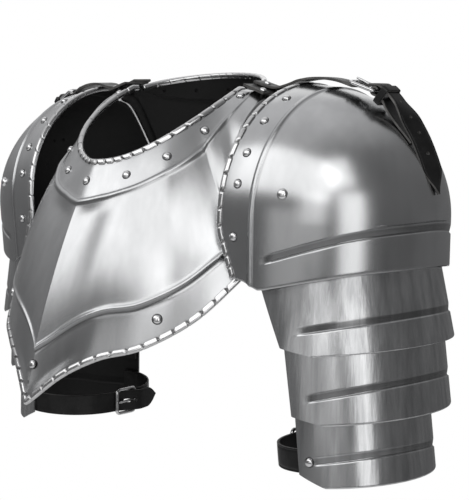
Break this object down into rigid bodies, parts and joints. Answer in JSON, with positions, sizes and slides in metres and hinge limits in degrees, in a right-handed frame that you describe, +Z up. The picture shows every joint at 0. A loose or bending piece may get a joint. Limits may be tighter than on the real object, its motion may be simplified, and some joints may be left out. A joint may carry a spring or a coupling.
{
  "type": "gorget with pauldrons",
  "caption": "Steel neck-and-shoulder armour: keeled gorget with roped edges, domed pauldrons over sliding lames, on riveted black leather straps with buckles.",
  "frame": {"origin": "middle of the neck opening, at the height where the gorget sits on the shoulders", "axes": "+Z up, -Y the way the wearer faces, +X the wearer's left"},
  "size_m": [0.5797, 0.3686, 0.3915],
  "materials": {
    "plate_steel": "satin polish with vertical brushing; the inner faces are painted black",
    "rivet_steel": "bright polish",
    "black_leather": "smooth black grain with paler cut edges",
    "buckle_steel": "bright polish"
  },
  "bodies": {
    "gorget": {"front_plate": "plate_steel", "back_plate": "plate_steel", "front_neck_rivets": "rivet_steel", "front_border_rivets": "rivet_steel", "back_rivets": "rivet_steel", "left_shoulder_leather": "black_leather", "right_shoulder_leather": "black_leather", "left_shoulder_rivets": "rivet_steel", "right_shoulder_rivets": "rivet_steel", "left_strap_anchor": "black_leather", "right_strap_anchor": "black_leather"},
    "pauldron_left": {"left_dome": "plate_steel", "left_dome_rivets": "rivet_steel", "left_dome_leathers": "black_leather", "left_strap": "black_leather", "left_strap_keeper": "black_leather", "left_buckle_leather": "black_leather", "left_buckle_frame": "buckle_steel"},
    "strap_prong_left": {"left_buckle_prong": "buckle_steel"},
    "lame_1_left": {"left_lame_1": "plate_steel", "left_lame_1_leathers": "black_leather", "left_lame_1_rivets": "rivet_steel"},
    "lame_2_left": {"left_lame_2": "plate_steel", "left_lame_2_leathers": "black_leather", "left_lame_2_rivets": "rivet_steel"},
    "lame_3_left": {"left_lame_3": "plate_steel", "left_lame_3_leathers": "black_leather", "left_lame_3_rivets": "rivet_steel", "left_arm_strap": "black_leather", "left_arm_strap_chape": "black_leather", "left_arm_buckle_frame": "buckle_steel"},
    "arm_prong_left": {"left_arm_buckle_prong": "buckle_steel"},
    "pauldron_right": {"right_dome": "plate_steel", "right_dome_rivets": "rivet_steel", "right_dome_leathers": "black_leather", "right_strap": "black_leather", "right_strap_keeper": "black_leather", "right_buckle_leather": "black_leather", "right_buckle_frame": "buckle_steel"},
    "strap_prong_right": {"right_buckle_prong": "buckle_steel"},
    "lame_1_right": {"right_lame_1": "plate_steel", "right_lame_1_leathers": "black_leather", "right_lame_1_rivets": "rivet_steel"},
    "lame_2_right": {"right_lame_2": "plate_steel", "right_lame_2_leathers": "black_leather", "right_lame_2_rivets": "rivet_steel"},
    "lame_3_right": {"right_lame_3": "plate_steel", "right_lame_3_leathers": "black_leather", "right_lame_3_rivets": "rivet_steel", "right_arm_strap": "black_leather", "right_arm_strap_chape": "black_leather", "right_arm_buckle_frame": "buckle_steel"},
    "arm_prong_right": {"right_arm_buckle_prong": "buckle_steel"}
  },
  "joints": [
    {"name": "left_shoulder", "type": "hinge", "parent": "gorget", "child": "pauldron_left", "pos_m": [0.1285, 0.027, 0.01175], "axis": [0, -1, 0], "range_deg": [0, 60]},
    {"name": "right_shoulder", "type": "hinge", "parent": "gorget", "child": "pauldron_right", "pos_m": [-0.14367, 0.027, 0.00624], "axis": [0, 1, 0], "range_deg": [0, 60]},
    {"name": "left_lame_1_lift", "type": "slide", "parent": "pauldron_left", "child": "lame_1_left", "axis": [-0.1219, 0, 0.9925], "range_m": [0, 0.015]},
    {"name": "left_lame_2_lift", "type": "slide", "parent": "lame_1_left", "child": "lame_2_left", "axis": [-0.1219, 0, 0.9925], "range_m": [0, 0.015]},
    {"name": "left_lame_3_lift", "type": "slide", "parent": "lame_2_left", "child": "lame_3_left", "axis": [-0.1219, 0, 0.9925], "range_m": [0, 0.015]},
    {"name": "left_buckle_prong_turn", "type": "hinge", "parent": "pauldron_left", "child": "strap_prong_left", "pos_m": [0.21922, 0.04104, 0.00378], "axis": [-0.153, 0.9882, 0], "range_deg": [0, 30]},
    {"name": "left_arm_prong_turn", "type": "hinge", "parent": "lame_3_left", "child": "arm_prong_left", "pos_m": [0.14508, 0.039, -0.3421], "axis": [0.1219, 0, -0.9925], "range_deg": [0, 30]},
    {"name": "right_lame_1_lift", "type": "slide", "parent": "pauldron_right", "child": "lame_1_right", "axis": [0, 0, 1], "range_m": [0, 0.015]},
    {"name": "right_lame_2_lift", "type": "slide", "parent": "lame_1_right", "child": "lame_2_right", "axis": [0, 0, 1], "range_m": [0, 0.015]},
    {"name": "right_lame_3_lift", "type": "slide", "parent": "lame_2_right", "child": "lame_3_right", "axis": [0, 0, 1], "range_m": [0, 0.015]},
    {"name": "right_buckle_prong_turn", "type": "hinge", "parent": "pauldron_right", "child": "strap_prong_right", "pos_m": [-0.23274, 0.04104, -0.01273], "axis": [-0.1518, -0.9882, -0.0186], "range_deg": [0, 30]},
    {"name": "right_arm_prong_turn", "type": "hinge", "parent": "lame_3_right", "child": "arm_prong_right", "pos_m": [-0.117, 0.039, -0.347], "axis": [0, 0, 1], "range_deg": [0, 30]}
  ]
}
